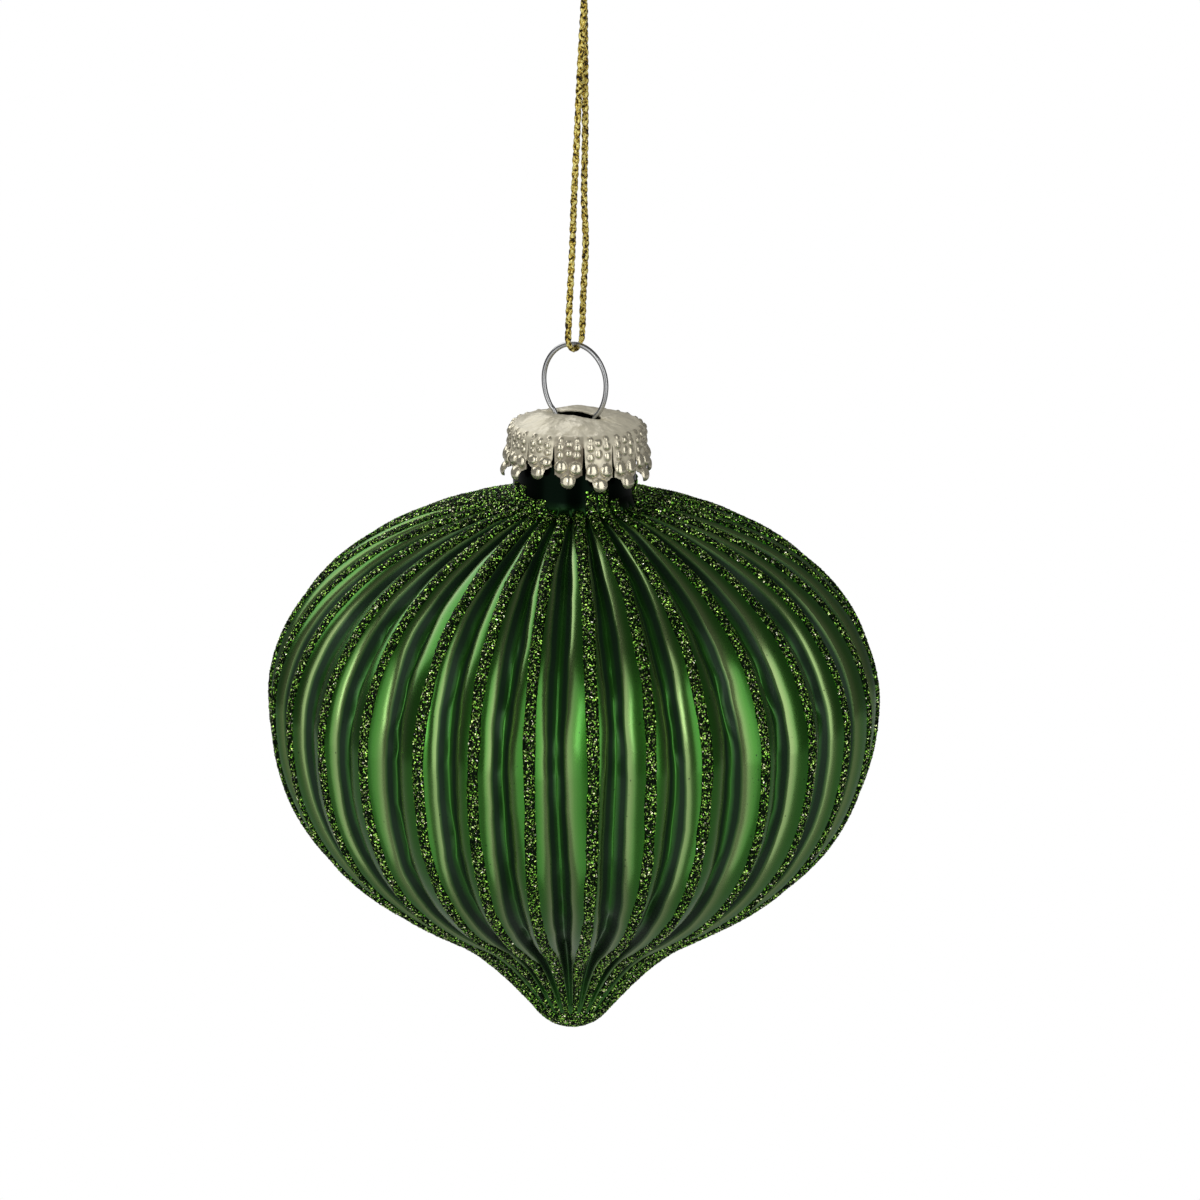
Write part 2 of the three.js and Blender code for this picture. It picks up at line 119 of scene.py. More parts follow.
# Rows of the cap by level, first, last and how many: 0 is at the slot, 1 at the rim, 2 at the slits' start
# and 3 at the end. The rounded edge lies between 1 and EDGE_END.
EDGE_SPAN = 0.4
EDGE_END = 1 + EDGE_SPAN
CAP_ROWS = [(0, 1, 26), (1, EDGE_END, 9), (EDGE_END, 2, 3), (2, 3, 49)]
WELD_DISTANCE = 0.02 * MM
PETALS = 14
PETAL_START = -2.6
PETAL_COLUMNS = 41
PETAL_LENGTH = 5.75 * MM
PETAL_UNEVENNESS = 0.7
# Tongues at the end of a petal: way across from its middle, way down from the cap's top and radius, in mm
TONGUES = [(0.0, 6.5, 1.0), (-1.0, 5.15, 0.95), (1.0, 5.15, 0.95)]
# How much longer than the plain one each petal is, in mm
PETAL_STRETCH = [0.5, 0.2, -0.3, 0.1, 0.4, 0, -0.4, 0.2, 0.4, 0, -0.85, 0.1, 0.6, 0.65]
STRETCH_REACH = 3 * MM  # over which the stretch comes in
# The petal painted darker than the others, as a painted dark reflection, and the way over which that darkness
# comes in
DARK_REFLECTION_PETAL = 11
DARK_REFLECTION_REACH = 2 * MM
FLARE_POWER = 1.3
SLIT_START = 2.2 * MM
SLIT_HALF_WIDTH = 0.22 * MM
SLIT_REACH = 4 * MM  # over which a slit widens by its width, from SLIT_TOP of it
SLIT_TOP = 0.3
SLOT_HALF_LENGTH = 3.5 * MM
SLOT_HALF_WIDTH = 0.9 * MM
SLOT_DIP = 0.35 * MM
SMALL_BOSS = 0.47 * MM
BIG_BOSS = 0.86 * MM
RIM_BOSS = 0.36 * MM
TONGUE_BOSS = 0.97 * MM
BOSS_RISE = 0.58  # of its radius
BIG_BOSS_RISE = 0.64
BOSS_STRAY = 0.1
# The painted shade round a boss: how far it reaches, in radii, how dark it is, and how much darker below the
# boss
SHADE_REACH = 0.45
SHADE_STRENGTH = 0.65
SHADE_BELOW = 0.45
# Bosses of a petal: way across from its middle and way down from the rim, in mm, with their radius
BOSSES = [(side * 1.12, down, SMALL_BOSS) for side in (-1, 1) for down in (2.0, 3.05)]
BOSSES += [(-1.1, 0.9, RIM_BOSS), (1.1, 0.9, RIM_BOSS)]
BOSSES += [(0, 1.5, SMALL_BOSS), (0, 2.75, SMALL_BOSS)]
BOSSES += [(-0.94, 4.52, BIG_BOSS), (0.94, 4.62, BIG_BOSS), (0, 6.33, TONGUE_BOSS)]

# Glass drop, as its solid: radii and heights of the outline
NECK_RADIUS = 8 * MM
NECK_LENGTH = 9.5 * MM
ROOT_FILLET = 1.5 * MM
BODY_RADIUS = 39.8 * MM
SHOULDER_RISE = 26.8 * MM
SHOULDER_SLOPE = 10.9
SHOULDER_FULLNESS = 29.5 * MM
SHOULDER_EASE = 3.5 * MM
WAIST_RADIUS = 15.95 * MM
WAIST_DROP = 32 * MM
WAIST_SLOPE = 32.8
BELLY_EASE = 21.6 * MM
BELLY_FULLNESS = 6.9 * MM
NOSE_RADIUS = 4.3 * MM
NOSE_DROP = 43 * MM
NOSE_SLOPE = 48.5
TAPER_EASE = 6.4 * MM
TAPER_FULLNESS = 3.5 * MM
NOSE_BALL = NOSE_RADIUS / sin(radians(NOSE_SLOPE))
NOSE_END_SLOPE = 4
GLASS_WALL = 0.9 * MM
# How many rows of points each part of the outline has
NECK_ROWS = 6
ROOT_ROWS = 4
SHOULDER_ROWS = 33
BELLY_ROWS = 31
TAPER_ROWS = 20
NOSE_ROWS = 7
SHOULDER_ROW = NECK_ROWS + ROOT_ROWS  # the first of the shoulder
INSIDE_FIRST_ROW = 3  # of the inner skin, after the lip's
INSIDE_ROW_STEP = 5
RIBS = 30
RIB_START = 3.84
RIB_DEPTH = 2.0 * MM
LOBE_CROWN = 0.34  # of half its width
LOBE_ROOF = 0.48  # of its crown that falls off straight, the rest as a power of the way from its crest
LOBE_ROUND = 4
VALLEY_OFFSET = -0.55
# Turn of each rib from its even place, in degrees
RIB_DRIFT = [-1.3, -0.8, 0.4, -0.6, 0.9, 0.2, -0.8, 0.5, 1.1, -0.4, -1.0, 0.6, 0.3, -0.7, 0.8]
RIB_DRIFT += [-0.2, -0.9, 0.4, 0.8, 1.2, 1.8, 1.8, 2.9, 1.6, 0.2, 0, -0.8, -2.1, -1.5, -1.4]
VALLEY_ROUND = 1.35
VALLEY_HALF_WIDTH = 1.28 * MM
VALLEY_MOST = 0.19  # of the ribs' pitch, for its half width
# How the ribs stray from even: seed, wavelength and size, which is a length for the crests, radians for the
# valleys' middles and a share for the rest
CREST_SWAY = (0.5, 45 * MM, 0.35 * MM)
CREST_SHAKE = (20.5, 11 * MM, 0.08 * MM)
MIDDLE_SWAY = (40.5, 25 * MM, 0.02)
DEPTH_SWAY = (90.5, 30 * MM, 0.2)
DIMPLES = (170.5, 3.6 * MM, 0.3)
EDGE_SWAY = (0, 14 * MM, 0.3)
EDGE_SHAKE = (7, 3.2 * MM, 0.13)
EDGE_SEEDS = (60.5, 130.5)
# Columns of points: on a lobe from its crest, and in a valley from the lobe's edge to its middle
ON_LOBE = [0, 0.2, 0.38, 0.54, 0.68, 0.8, 0.9, 0.97]
IN_VALLEY = [1, 0.8, 0.5, 0.14]
# How much painted pale sheen, standing in for reflections, lies on the columns of a lobe and on its edge,
# and how much painted shade lies on those of a valley
LOBE_SHEEN = [0, 0, 0.02, 0.08, 0.25, 0.6, 0.95, 1]
EDGE_SHEEN = 0.7
VALLEY_SHADE = [0.5, 1, 1, 0.5]
RIB_FADE_START = 5 * MM
RIB_FADE_LENGTH = 14 * MM
NECK_FADE = 4 * MM

# Glitter
BAND_WIDTH = 1.55 * MM
BAND_TOP_WIDTH = 1.75 * MM
BAND_HEIGHT = 0.32 * MM
BAND_NARROWING = 30 * MM  # way from the neck's root over which the width changes
BAND_MOST = 0.5  # of the ribs' pitch
BAND_MOST_ABOVE = 0.85  # the same on the neck and its root
BAND_PROFILE = [-1, -0.82, -0.45, 0, 0.45, 0.82, 1]
BAND_SINK = 0.03 * MM
BAND_ROOT = 0.25 * MM
# How uneven a line is in its width, its way and its height, and how uneven the tip is: size and wavelength
BAND_RAGGED = (0.25, 4 * MM)
BAND_WANDER = (0.22 * MM, 9 * MM)
BAND_ROUGH = (0.12, 0.9 * MM)
TIP_ROUGH = (0.06 * MM, 1.1 * MM)
TIP_COLUMNS = 72
TIP_RISE = 1.2 * MM  # of the crust above the taper's end
TIP_HEIGHT = 0.3 * MM
TIP_POLES = (0.25 * MM, -0.34 * MM)
FLAKE_RADIUS = 0.12 * MM
FLAKE_CORNERS = 6
FLAKE_SCALES = (0.65, 1.25)
FLAKES_PER_SQUARE_MM = 22
FLAKE_TILT = 38
LINE_SEED = 100
TIP_SEED = 77
# The row of the outline on which each glitter line starts: 5 is on the neck, 9 at the foot of its root
FIRST_ROWS = [9, 5, 6, 5, 7, 9, 6, 5, 5, 8, 9, 6, 5, 7, 5, 6, 8, 9, 6, 5, 5, 6, 6, 8, 9, 8, 5, 5, 6, 9]

# Picture
PHOTO_SIZE = 1200
CAMERA_AZIMUTH = 30
CAMERA_ELEVATION = 15.3
CAMERA_ROLL = 0.3
CAMERA_DISTANCE = 1.0
CAMERA_LENS = 229
SENSOR_WIDTH = 36
BODY_IN_PHOTO = (573.6, 696.2)

# Places taken from the solids
EYE_CROWN_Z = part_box("wire_hanger")[1].z - WIRE_RADIUS
CAP_TOP_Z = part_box("cap")[1].z
LIP_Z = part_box("glass_neck")[1].z
TOE_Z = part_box("wire_hanger")[0].z

rib_pitch = 2 * pi / RIBS
root_z = LIP_Z - NECK_LENGTH
equator_z = root_z - SHOULDER_RISE
camera_right = Vector((cos(radians(CAMERA_AZIMUTH)), sin(radians(CAMERA_AZIMUTH)), 0))


# Helpers for meshes


def finished_piece(name, points, faces, material):
    """A mesh object at the origin, with its place in its mesh."""
    mesh = bpy.data.meshes.new(name)
    mesh.from_pydata([tuple(p) for p in points], [], [tuple(f) for f in faces])
    mesh.polygons.foreach_set("use_smooth", [True] * len(mesh.polygons))
    mesh.materials.append(material)
    mesh.update()
    piece = bpy.data.objects.new(name, mesh)
    bpy.context.scene.collection.objects.link(piece)
    return piece


def keep_at_points(piece, name, values):
    """Keeps a number at each point of a mesh for its material or its geometry nodes."""
    attribute = piece.data.attributes.new(name, "FLOAT", "POINT")
    attribute.data.foreach_set("value", np.array(values, np.float32))


def ring_faces(rings, columns):
    """Quads between rings of points that close on themselves, each ring after the last."""
    faces = []
    for here in range(0, (rings - 1) * columns, columns):
        below = here + columns
        for column in range(columns):
            beside = (column + 1) % columns
            faces.append((here + column, below + column, below + beside, here + beside))
    return faces


def fan_faces(pole, first, columns, downwards):
    """Triangles from a pole to the ring that starts at first."""
    faces = []
    for column in range(columns):
        beside = (column + 1) % columns
        corners = (pole, first + column, first + beside)
        faces.append(corners if downwards else corners[::-1])
    return faces


def closed(quads, count, columns):
    """Faces of a closed skin: its quads, and a fan at either end to a pole. Count is the number of points in
    its rings, and the two poles come after them."""
    return quads + fan_faces(count, 0, columns, False) + fan_faces(count + 1, count - columns, columns, True)


def apply_modifiers(piece):
    """Makes what the modifiers show into the mesh of a piece."""
    bare = piece.data
    evaluated = piece.evaluated_get(bpy.context.evaluated_depsgraph_get())
    piece.data = bpy.data.meshes.new_from_object(evaluated)
    piece.modifiers.clear()
    piece.data.name = piece.name
    bpy.data.meshes.remove(bare)


def way_along(line):
    """The way from the start of a line to each of its points."""
    return np.concatenate([[0], np.cumsum(np.linalg.norm(np.diff(line, axis=0), axis=1))])


def smooth_line(points, steps):
    """Evenly spaced points on a smooth curve through some points: a Catmull-Rom spline."""
    points = np.array(points, float)
    ends = np.vstack([2 * points[0] - points[1], points, 2 * points[-1] - points[-2]])
    line = []
    for a, b, c, d in zip(ends, ends[1:], ends[2:], ends[3:]):
        for t in np.linspace(0, 1, CURVE_STEPS, endpoint=False):
            bend = 2 * a - 5 * b + 4 * c - d
            twist = 3 * b - a - 3 * c + d
            line.append(0.5 * (2 * b + (c - a) * t + bend * t**2 + twist * t**3))
    line = np.array([*line, points[-1]])
    along = way_along(line)
    even = np.linspace(0, along[-1], steps + 1)
    return np.stack([np.interp(even, along, line[:, k]) for k in range(3)], axis=1)


def line_length(line):
    return float(np.linalg.norm(np.diff(line, axis=0), axis=1).sum())


def line_frames(line):
    """Two sideways directions at each point of a line, without twist."""
    along = np.gradient(line, axis=0)
    along /= np.linalg.norm(along, axis=1)[:, None]
    side = np.cross(along[0], [1, 0, 0])
    sides = []
    for direction in along:
        side = side - direction * side.dot(direction)
        side /= np.linalg.norm(side)
        sides.append(side)
    sides = np.array(sides)
    return sides, np.cross(along, sides)


def tube(line, radius, corners):
    """Points and faces of a closed round bar along a line. Its radius may be a number for each point."""
    side, other = line_frames(line)
    radius = np.broadcast_to(radius, len(line))[:, None, None]
    turns = np.linspace(0, 2 * pi, corners, endpoint=False)[:, None]
    rings = line[:, None] + radius * np.cos(turns) * side[:, None] + radius * np.sin(turns) * other[:, None]
    points = [*rings.reshape(-1, 3), line[0], line[-1]]
    quads = [face[::-1] for face in ring_faces(len(line), corners)]
    return points, closed(quads, len(line) * corners, corners)


def joined(parts):
    """Several lists of points and faces as one."""
    points, faces = [], []
    for some_points, some_faces in parts:
        start = len(points)
        points += list(some_points)
        faces += [tuple(corner + start for corner in face) for face in some_faces]
    return points, faces


# Camera


def place_camera():
    azimuth, elevation = radians(CAMERA_AZIMUTH), radians(CAMERA_ELEVATION)
    back = Vector((sin(azimuth) * cos(elevation), -cos(azimuth) * cos(elevation), sin(elevation)))
    turn = Matrix((camera_right, back.cross(camera_right), back)).transposed()
    turn = turn @ Matrix.Rotation(radians(CAMERA_ROLL), 3, "Z")
    right, up = turn.col[0], turn.col[1]
    metres_per_pixel = SENSOR_WIDTH * CAMERA_DISTANCE / CAMERA_LENS / PHOTO_SIZE
    across = (PHOTO_SIZE / 2 - BODY_IN_PHOTO[0]) * metres_per_pixel
    above = (BODY_IN_PHOTO[1] - PHOTO_SIZE / 2) * metres_per_pixel
    target = Vector((0, 0, equator_z)) + right * across + up * above
    data = bpy.data.cameras.new("photo_camera")
    data.lens = CAMERA_LENS
    data.sensor_width = SENSOR_WIDTH
    data.clip_start = 0.05
    data.clip_end = 30
    camera = bpy.data.objects.new("photo_camera", data)
    camera.matrix_world = Matrix.Translation(target + back * CAMERA_DISTANCE) @ turn.to_4x4()
    bpy.context.scene.collection.objects.link(camera)
    bpy.context.scene.camera = camera


# Materials: sockets with the operators of plain maths


def maths(operation, turned=False):
    """An operator between a signal and a number or another signal, which comes first if it is turned."""

    def method(self, other):
        values = (other, self) if turned else (self, other)
        return self.nodes.add("ShaderNodeMath", {"operation": operation}, dict(enumerate(values)))

    return method


class Signal:
    """An output of a node that can be added, multiplied and compared like a number."""

    def __init__(self, nodes, socket):
        self.nodes = nodes
        self.socket = socket

    __add__ = __radd__ = maths("ADD")
    __sub__ = maths("SUBTRACT")
    __rsub__ = maths("SUBTRACT", turned=True)
    __mul__ = __rmul__ = maths("MULTIPLY")
    __truediv__ = maths("DIVIDE")
    __rtruediv__ = maths("DIVIDE", turned=True)
    __gt__ = maths("GREATER_THAN")
    __lt__ = maths("LESS_THAN")


class Nodes:
    """A node tree that is written as expressions."""

    def __init__(self, tree):
        self.tree = tree

    def add(self, kind, settings=None, inputs=None, output=0):
        node = self.tree.nodes.new(kind)
        for name, value in (settings or {}).items():
            setattr(node, name, value)
        for name, value in (inputs or {}).items():
            self.feed(node.inputs[name], value)
        return Signal(self, node.outputs[output]) if node.outputs else None

    def feed(self, socket, value):
        if isinstance(value, Signal):
            self.tree.links.new(value.socket, socket)
        else:
            socket.default_value = value

    def place(self):
        return self.add("ShaderNodeTexCoord", output="Object")

    def grain(self, scale, detail=2.0, roughness=0.5, stretch=None):
        place = self.place()
        if stretch:
            place = self.add("ShaderNodeMapping", inputs={"Vector": place, "Scale": stretch})
        inputs = {"Vector": place, "Scale": scale, "Detail": detail, "Roughness": roughness}
        return self.add("ShaderNodeTexNoise", inputs=inputs)

    def ray(self, kind):
        return self.add("ShaderNodeLightPath", output=f"Is {kind} Ray")

    def kept(self, name):
        """An attribute that the mesh keeps at its points."""
        return self.add("ShaderNodeAttribute", {"attribute_name": name}, output="Fac")

    def steps(self, value, stops):
        ramp = self.add("ShaderNodeValToRGB", inputs={"Fac": value})
        elements = ramp.socket.node.color_ramp.elements
        while len(elements) < len(stops):
            elements.new(0.5)
        for element, (place, shade) in zip(elements, stops):
            element.position = place
            element.color = (*shade, 1)
        return ramp

    def mixed(self, factor, first, second):
        inputs = {"Factor": factor, 6: first, 7: second}
        return self.add("ShaderNodeMix", {"data_type": "RGBA"}, inputs, output=2)

    def bump(self, height, strength, distance):
        inputs = {"Height": height, "Strength": strength, "Distance": distance}
        return self.add("ShaderNodeBump", inputs=inputs)


class Look(Nodes):
    """The nodes of a material with one Principled shader."""

    def __init__(self, name):
        self.material = bpy.data.materials.new(name)
        self.material.use_nodes = True
        super().__init__(self.material.node_tree)

    def made(self, **inputs):
        """Feeds the shader's sockets and gives the material."""
        shader = self.tree.nodes["Principled BSDF"]
        for socket, value in inputs.items():
            self.feed(shader.inputs[socket.replace("_", " ")], value)
        return self.material


def colour(red, green, blue):
    return (red, green, blue, 1)


def green_lacquer():
    nodes = Look("green_lacquer")
    cloud = nodes.grain(90, 3)
    groove_shade = nodes.kept("groove_shade")
    neck = nodes.kept("neck")
    edge_sheen = nodes.kept("edge_sheen") * (0.5 + 0.7 * nodes.grain(45, 2, stretch=(1, 1, 0.5)))
    specks = nodes.grain(2600, 1, stretch=(1, 1, 0.8)) > 0.765
    ripple = nodes.grain(420, 2, stretch=(1, 1, 0.35))
    base = nodes.mixed(cloud, colour(0.034, 0.19, 0.015), colour(0.05, 0.24, 0.022))
    # Painted pale sheen: the lobes' edges turn paler and yellower, standing in for the pale reflections on
    # them
    base = nodes.mixed(edge_sheen, base, colour(0.3, 0.42, 0.16))
    # Painted shade: the valleys turn near black, with less metal and coat, where shade and dark reflections
    # fall
    base = nodes.mixed(groove_shade, base, colour(0.014, 0.034, 0.016))
    base = nodes.mixed(neck, base, colour(0.0015, 0.005, 0.0025))
    return nodes.made(
        Base_Color=nodes.mixed(specks * 0.8, base, colour(0.006, 0.02, 0.006)),
        Metallic=1 - 0.6 * groove_shade,
        Specular_IOR_Level=0.1,
        Roughness=0.22 + 0.08 * cloud + 0.1 * groove_shade,
        Coat_Weight=0.35 * (1 - 0.85 * groove_shade) * (1 - 0.93 * neck),
        Coat_Roughness=0.15,
        Normal=nodes.bump(ripple, 0.25, 0.05 * MM),
    )


def glitter_glue():
    nodes = Look("glitter_glue")
    base = nodes.mixed(nodes.grain(3000, 1), colour(0.001, 0.003, 0.001), colour(0.003, 0.011, 0.002))
    rough = 0.45 + 0.2 * nodes.grain(1500, 1)
    return nodes.made(Base_Color=base, Specular_IOR_Level=0.06, Roughness=rough)


def glitter_flakes():
    nodes = Look("glitter_flakes")
    tint = nodes.kept("tint")
    shades = [
        (0.0, (0.001, 0.003, 0.001)),
        (0.27, (0.004, 0.022, 0.002)),
        (0.35, (0.16, 0.55, 0.035)),
        (0.82, (0.6, 1.0, 0.17)),
        (0.95, (1.0, 1.0, 0.6)),
        (1.0, (1.0, 1.0, 0.9)),
    ]
    return nodes.made(
        Base_Color=nodes.steps(tint, shades),
        Metallic=0.84,
        Specular_IOR_Level=0.3,
        Roughness=0.13 + 0.1 * tint,
    )


def champagne_metal():
    nodes = Look("champagne_metal")
    boss = nodes.kept("boss")
    painted_shade = nodes.kept("painted_shade")
    skirt = nodes.kept("skirt")
    cloud = nodes.grain(220, 3)
    dents = nodes.grain(750, 3, 0.6)
    base = nodes.mixed(cloud, colour(0.75, 0.695, 0.53), colour(0.85, 0.79, 0.61))
    return nodes.made(
        # Painted shade: the metal turns dark brown round the bosses, more so below them, and over one petal
        # as a painted dark reflection
        Base_Color=nodes.mixed(painted_shade * 0.95, base, colour(0.14, 0.11, 0.07)),
        Metallic=0.25 + 0.1 * skirt + 0.45 * boss,
        Roughness=0.27 + 0.12 * cloud - 0.17 * boss,
        Normal=nodes.bump(dents * (1 - boss), 0.5, 0.16 * MM),
    )


def steel_wire():
    nodes = Look("steel_wire")
    drawn = nodes.grain(500, 1, stretch=(1, 1, 0.3))
    base = nodes.mixed(drawn, colour(0.4, 0.405, 0.41), colour(0.52, 0.525, 0.525))
    return nodes.made(Base_Color=base, Metallic=1.0, Roughness=0.2 + 0.1 * drawn)


def gold_thread():
    nodes = Look("gold_thread")
    foil = nodes.grain(2600, 2)
    shades = [(0.41, (0.015, 0.008, 0.001)), (0.49, (0.66, 0.45, 0.04)), (0.6, (1.0, 0.9, 0.31))]
    fibres = nodes.add("ShaderNodeMath", {"operation": "SINE"}, {0: nodes.kept("lay") * 60})
    return nodes.made(
        Base_Color=nodes.steps(foil, shades),
        Metallic=0.55,
        Roughness=0.12 + 0.2 * foil,
        Normal=nodes.bump(fibres + foil, 0.5, 0.03 * MM),
    )


# Cord loop: a round braid down one side, round the wire and up the other


def cord_run(side):
    """One run of the cord, down from the knot, on the given side of the loop."""
    points = []
    for drop, lean, half_gap, turn in CORD_ROUTE:
        across = Vector((-sin(radians(turn)), cos(radians(turn)), 0))
        points.append((camera_right * lean + across * side * half_gap - UP * drop) * MM)
    return points


def cord_line():
    bottom = EYE_CROWN_Z - WIRE_RADIUS - PRESSED_SHARE * CORD_RADIUS
    bight = []
    for step in range(BIGHT_STEPS + 1):
        turn = pi * step / BIGHT_STEPS
        bight.append(Vector((0, -cos(turn), 1 - sin(turn))) * BIGHT_RADIUS + UP * bottom)
    return smooth_line(cord_run(-1) + bight + cord_run(1)[::-1], CORD_POINTS)


def braid(line):
    """Strands that wind both ways round a line and pass over and under each other, closer under the wire."""
    side, other = line_frames(line)
    along = np.linspace(0, line_length(line), len(line))
    turns = along * 2 * pi / (CORD_PICK * STRANDS_EACH_WAY)
    from_wire = np.abs(line[:, 2] - (EYE_CROWN_Z - WIRE_RADIUS)) / PRESSED_REACH
    pressed = PRESSED_SHARE + (1 - PRESSED_SHARE) * np.clip(from_wire - PRESSED_HOLD, 0, 1)
    parts, lays = [], []
    for way in (1, -1):
        for strand in range(STRANDS_EACH_WAY):
            angle = way * turns + 2 * pi * strand / STRANDS_EACH_WAY
            reach = pressed * (STRAND_RING + way * STRAND_WEAVE * np.cos(STRANDS_EACH_WAY * turns))
            path = line + reach[:, None] * (np.cos(angle)[:, None] * side + np.sin(angle)[:, None] * other)
            parts.append(tube(path, STRAND_RADIUS * pressed, STRAND_CORNERS))
            ring = np.arange(len(line) * STRAND_CORNERS) % STRAND_CORNERS / STRAND_CORNERS
            lays.append(np.concatenate([ring, [0, 0]]))
    core = tube(line[::CORE_STRIDE], CORE_SHARE * STRAND_RING, CORE_CORNERS)
    parts.append(core)
    lays.append(np.zeros(len(core[0])))
    return joined(parts), np.concatenate(lays)


def braided_piece(name, lines, material):
    parts, lays = [], []
    for line in lines:
        part, lay = braid(line)
        parts.append(part)
        lays.append(lay)
    piece = finished_piece(name, *joined(parts), material)
    keep_at_points(piece, "lay", np.concatenate(lays))
    return piece


def hanging_cord(material):
    line = cord_line()
    cord = braided_piece("gold_cord", [line], material)
    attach(cord, "cord_loop")
    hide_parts("hanging_cord")
    return cord, line


def knot_line(side):
    """One of the two cords of the overhand knot, from its crotch to the end of its tail."""
    points = [Vector((0, side * 0.6, -0.2)) * MM]
    rise = KNOT_HEIGHT * 0.75
    for step in range(KNOT_STEPS + 1):
        turn = radians(KNOT_START + KNOT_SWEEP * step / KNOT_STEPS)
        reach = KNOT_RADIUS * (1 + 0.12 * sin(3 * turn)) + side * 0.08 * MM
        height = rise * (0.18 + 0.62 * step / KNOT_STEPS) + side * KNOT_WEAVE * cos(1.5 * turn)
        points.append(Vector((reach * cos(turn), reach * sin(turn) * KNOT_FLATNESS, height)))
    for share in (0.0, 0.35, 0.7, 1.0):
        spread = side * (CORD_RADIUS + 0.1 * MM + TAIL_SPREAD * share * 0.8)
        lean = TAIL_BEND * sin(5 * share + side)
        points.append(Vector((lean, spread, KNOT_HEIGHT * 0.95 + TAIL_LENGTH * share)))
    return smooth_line(points, KNOT_POINTS)


def cord_knot(material):
    knot = braided_piece("gold_knot", [knot_line(-1), knot_line(1)], material)
    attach(knot, "cord_loop")
    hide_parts("cord_knot")
    return knot


# Wire eye with its two sprung legs


def wire_eye(material):
    def on_eye(angle):
        reach = EYE_CROWN if angle < pi / 2 else EYE_HEEL
        return Vector((EYE_HALF_WIDTH * sin(angle), 0, EYE_CROWN_Z - EYE_CROWN + reach * cos(angle)))

    slot_level = (EYE_CROWN_Z - CAP_TOP_Z - EYE_CROWN) / EYE_HEEL
    slot_angle = pi - atan2(sqrt(1 - slot_level**2), slot_level)
    toe = Vector((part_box("wire_hanger")[1].x - WIRE_RADIUS, 0, TOE_Z + WIRE_RADIUS))
    throat = Vector((THROAT_HALF_WIDTH, 0, CAP_TOP_Z - THROAT_DROP))
    half = [toe, throat.lerp(toe, LEG_BEND), throat]
    half += [on_eye(slot_angle * (1 - step / EYE_STEPS)) for step in range(EYE_STEPS + 1)]
    mirrored = [Vector((-point.x, 0, point.z)) for point in half[:-1]]
    line = smooth_line(half + mirrored[::-1], WIRE_POINTS)
    wire = finished_piece("eye_wire", *tube(line, WIRE_RADIUS, WIRE_CORNERS), material)
    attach(wire, "hanger")
    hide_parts("wire_hanger")


# Glass drop


def along_bezier(points, shares):
    """Places and outward normals on a Bezier curve of the outline, as radius and height."""
    points = np.array(points, float)
    shares = np.array(shares, float)[:, None]

    def blend(values):
        last = len(values) - 1
        weights = [comb(last, k) * (1 - shares) ** (last - k) * shares**k for k in range(last + 1)]
        return sum(weight * value for weight, value in zip(weights, values))

    slope = blend(np.diff(points, axis=0))
    slope /= np.linalg.norm(slope, axis=1)[:, None]
    return np.hstack([blend(points), -slope[:, 1:], slope[:, :1]])


def glass_outline():
    """Rows of radius, height and outward normal, from the lip down to the nose."""

    def downhill(slope, outward=1):
        return np.array([outward * cos(radians(slope)), -sin(radians(slope))])

    corner = np.array([NECK_RADIUS, root_z])
    root_top = corner + [0, ROOT_FILLET]
    root_end = corner + downhill(SHOULDER_SLOPE) * ROOT_FILLET
    equator = np.array([BODY_RADIUS, equator_z])
    waist = np.array([WAIST_RADIUS, equator_z - WAIST_DROP])
    nose = np.array([NOSE_RADIUS, equator_z - NOSE_DROP])
    shoulder = [root_end, root_end + downhill(SHOULDER_SLOPE) * SHOULDER_FULLNESS]
    shoulder += [equator + [0, SHOULDER_EASE], equator]
    inward = downhill(WAIST_SLOPE, -1)
    belly = [equator, equator - [0, BELLY_EASE], waist - inward * BELLY_FULLNESS, waist]
    taper = [waist, waist + inward * TAPER_EASE]
    taper += [nose - downhill(NOSE_SLOPE, -1) * TAPER_FULLNESS, nose]
    slopes = np.radians(np.linspace(NOSE_SLOPE, NOSE_END_SLOPE, NOSE_ROWS + 1)[1:])
    under = np.stack([np.sin(slopes), -np.cos(slopes)], axis=1)
    centre = nose + [-NOSE_RADIUS, NOSE_BALL * cos(radians(NOSE_SLOPE))]
    heights = np.linspace(LIP_Z, root_top[1], NECK_ROWS, endpoint=False)
    root = [root_top, corner, root_end]
    rows = [[[NECK_RADIUS, height, 1, 0] for height in heights]]
    for curve, count in ((root, ROOT_ROWS), (shoulder, SHOULDER_ROWS), (belly, BELLY_ROWS)):
        rows.append(along_bezier(curve, np.linspace(0, 1, count, endpoint=False)))
    rows.append(along_bezier(taper, np.linspace(0, 1, TAPER_ROWS)))
    rows.append(np.hstack([centre + NOSE_BALL * under, under]))
    return np.vstack(rows)


